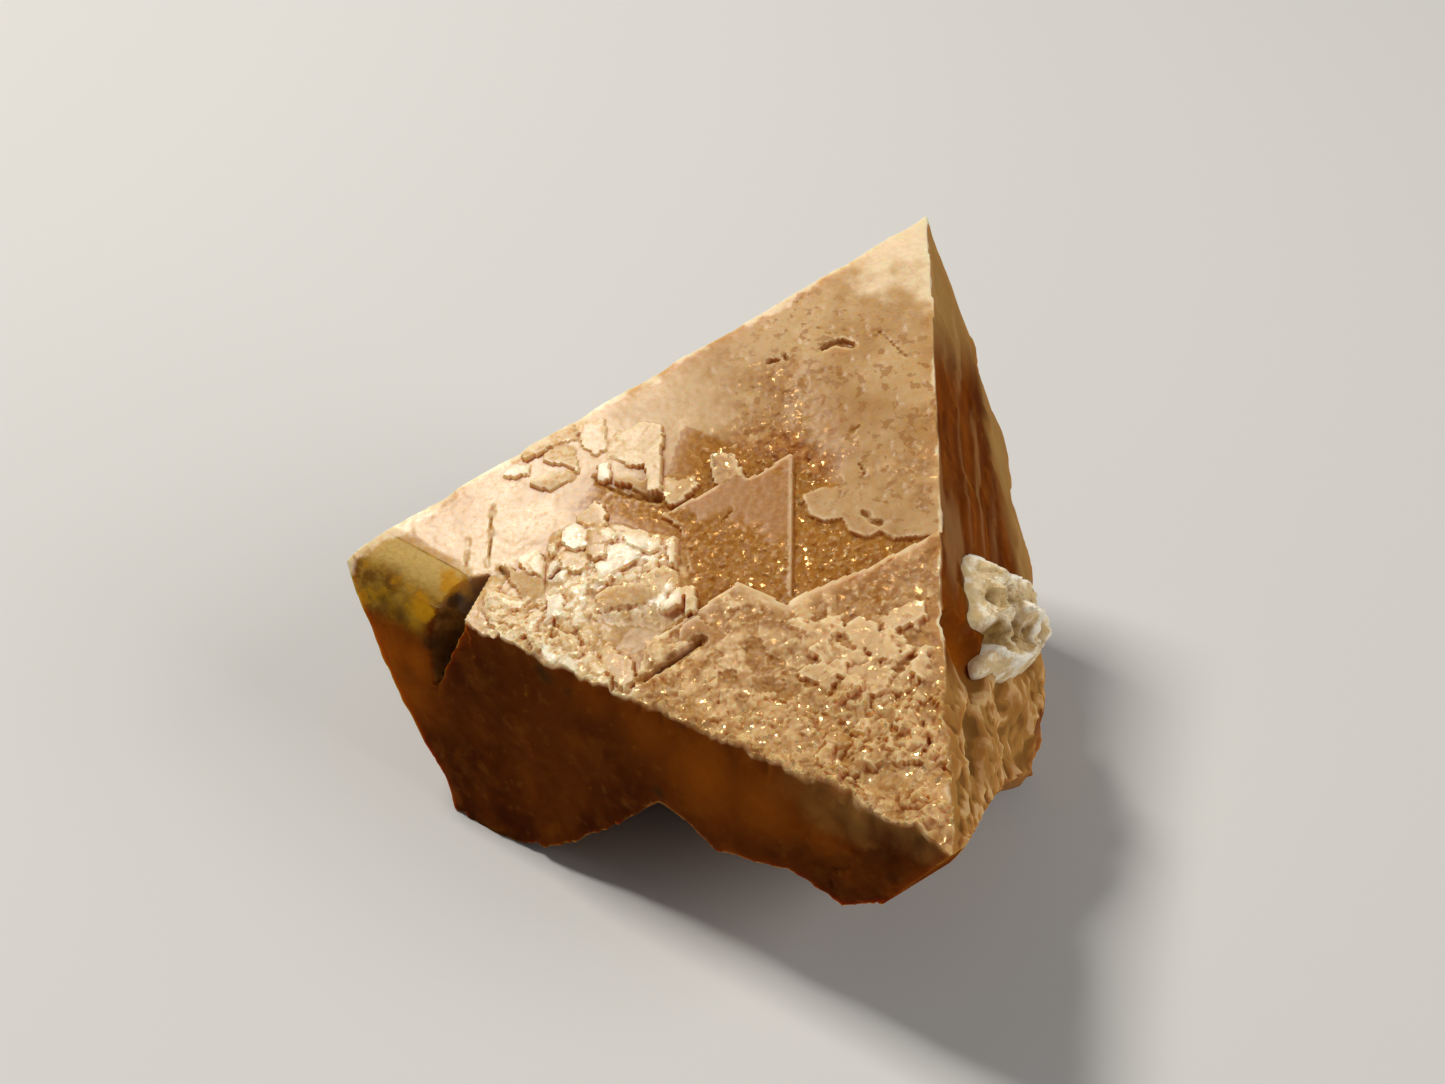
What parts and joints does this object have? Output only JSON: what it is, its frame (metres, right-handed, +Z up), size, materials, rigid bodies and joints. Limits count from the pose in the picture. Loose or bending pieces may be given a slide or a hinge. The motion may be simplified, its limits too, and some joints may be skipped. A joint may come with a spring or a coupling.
{
  "type": "scheelite crystal",
  "caption": "Free-standing half of a pointed eight-faced crystal with stepped growth plates on its large top face and a pale mica crust on one side.",
  "frame": {"origin": "middle of the box round the whole specimen, on the plane that its broken base rests on", "axes": "+Z up; -Y towards the viewer who sees the large top face lean forwards and the nose point left (-X); the sharp front tip points to -Y"},
  "size_m": [0.0374, 0.0413, 0.0247],
  "materials": {
    "scheelite": "vitreous to greasy lustre on crystal faces, rough on broken ones",
    "mica": "pale, dull to pearly"
  },
  "bodies": {
    "root": {"scheelite_crystal": "scheelite", "mica_crust": "mica"}
  },
  "joints": []
}
